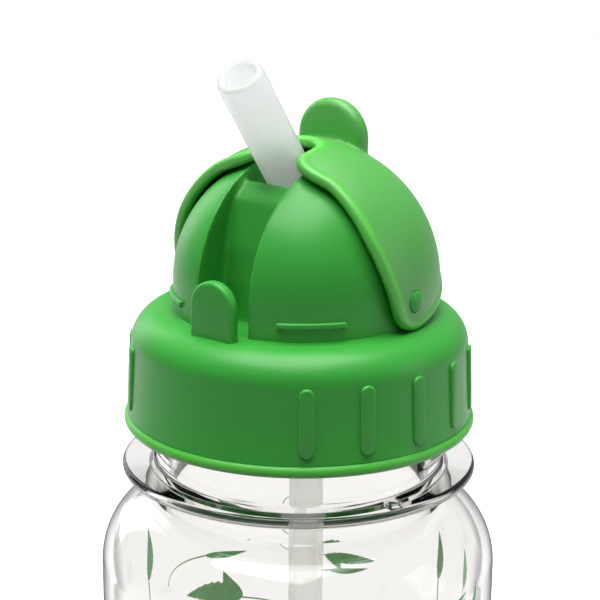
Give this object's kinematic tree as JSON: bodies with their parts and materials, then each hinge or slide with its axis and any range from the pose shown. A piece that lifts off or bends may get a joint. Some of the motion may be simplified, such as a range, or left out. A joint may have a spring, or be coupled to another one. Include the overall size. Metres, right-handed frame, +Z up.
{
  "type": "kids water bottle",
  "caption": "Clear kids water bottle with a green screw lid, a turning visor, a bending silicone spout and a straw.",
  "frame": {"origin": "centre of the base, on the surface that the bottle stands on", "axes": "+Z up along the bottle, -Y the front, towards which the spout leans, X along the visor's pivots"},
  "size_m": [0.073, 0.073, 0.2136],
  "materials": {
    "clear_plastic": "clear, polished",
    "green_plastic": "satin with a fine spark texture on the visor",
    "silicone": "translucent, soft satin",
    "straw_plastic": "translucent, satin",
    "seal_rubber": "matt"
  },
  "bodies": {
    "bottle": {"bottle_body": "clear_plastic"},
    "seal": {"lid_gasket": "seal_rubber"},
    "lid": {"screw_lid": "green_plastic", "spout_root": "silicone", "straw_tube": "straw_plastic", "vent_valve": "seal_rubber"},
    "cover": {"visor": "green_plastic"},
    "spout": {"spout_tip": "silicone"}
  },
  "joints": [
    {"name": "lid_rise", "type": "slide", "parent": "bottle", "child": "seal", "axis": [0, 0, 1], "range_m": [0, 0.00675]},
    {"name": "lid_turn", "type": "hinge", "parent": "seal", "child": "lid", "pos_m": [0, 0, 0.155], "axis": [0, 0, 1], "range_deg": [0, 540]},
    {"name": "visor_tilt", "type": "hinge", "parent": "lid", "child": "cover", "pos_m": [0, 0, 0.1726], "axis": [1, 0, 0], "range_deg": [0, 62]},
    {"name": "spout_fold", "type": "hinge", "parent": "lid", "child": "spout", "pos_m": [0, -0.0113, 0.19403], "axis": [1, 0, 0], "range_deg": [0, 134.1], "deforming": ["spout_root"]}
  ],
  "couplings": [
    {"joint": "lid_rise", "follows": "lid_turn", "m_per_rad": 0.0007162},
    {"joint": "spout_fold", "follows": "visor_tilt", "ratio": 2.1613}
  ]
}
